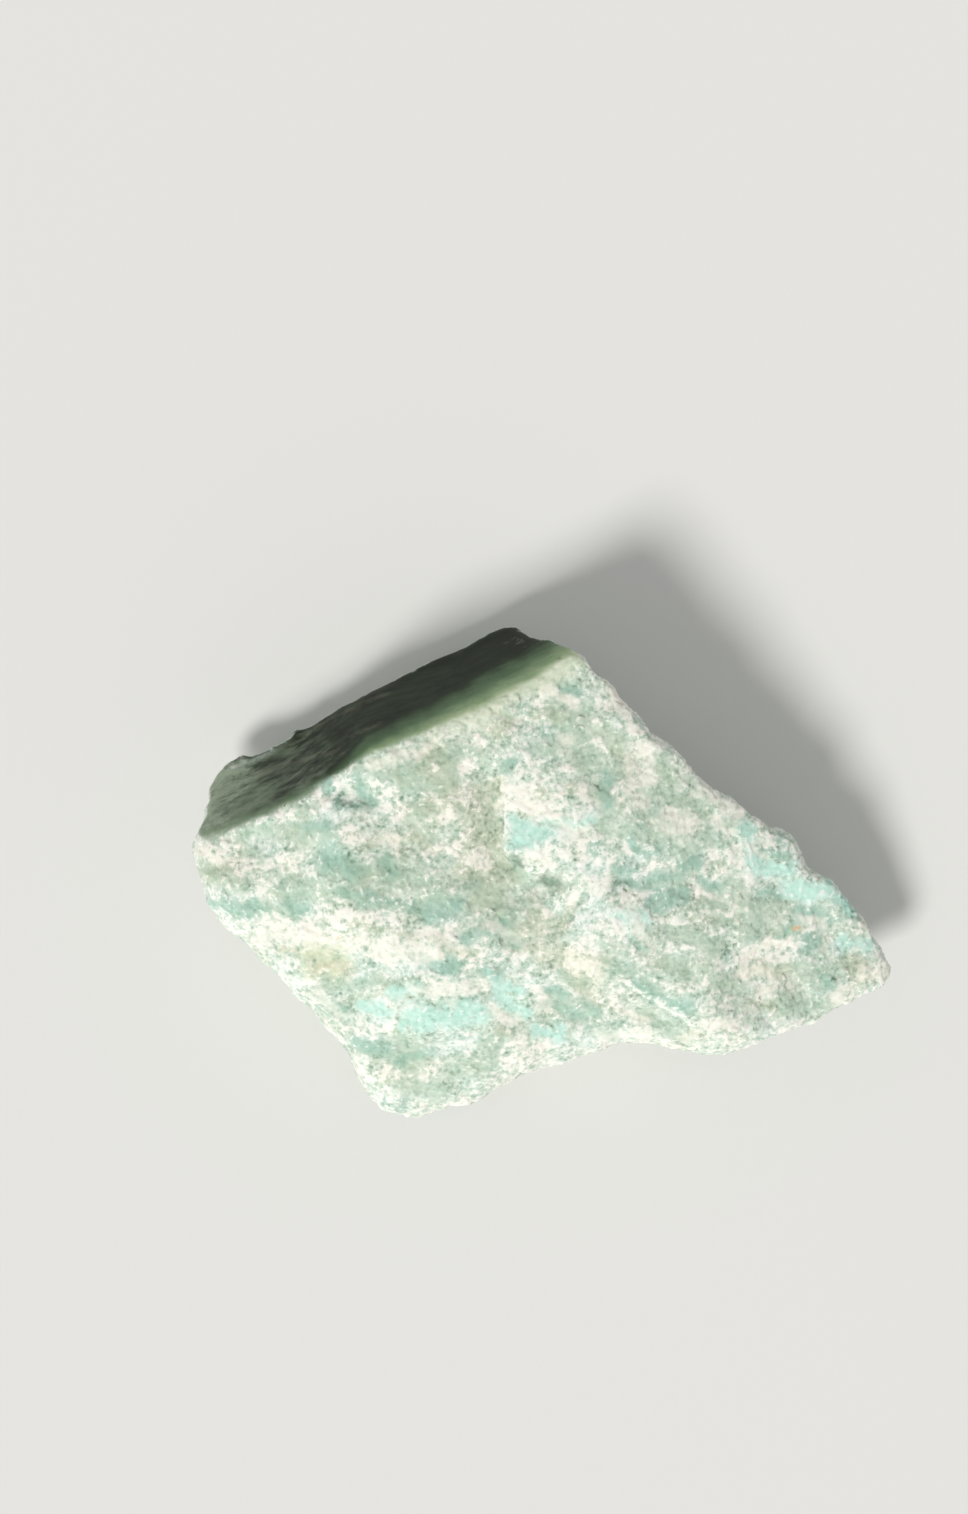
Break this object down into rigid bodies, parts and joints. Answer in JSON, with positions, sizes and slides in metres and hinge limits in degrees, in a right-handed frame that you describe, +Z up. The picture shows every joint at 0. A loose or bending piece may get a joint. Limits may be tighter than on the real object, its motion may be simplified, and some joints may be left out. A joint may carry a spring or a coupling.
{
  "type": "rough green aventurine stone",
  "caption": "Rough pale green stone with a granular broken face, ledges and pits, and one smooth dark side, lying on a small flat foot.",
  "frame": {"origin": "middle of the stone's box at the height of its flat foot", "axes": "+Z up, +X along the stone's longest side towards its pointed end, +Y towards the smooth dark side"},
  "size_m": [0.065, 0.046, 0.0195],
  "materials": {
    "aventurine": "granular broken stone, smooth and a little glossy on one side"
  },
  "bodies": {
    "root": {"aventurine_stone": "aventurine"}
  },
  "joints": []
}
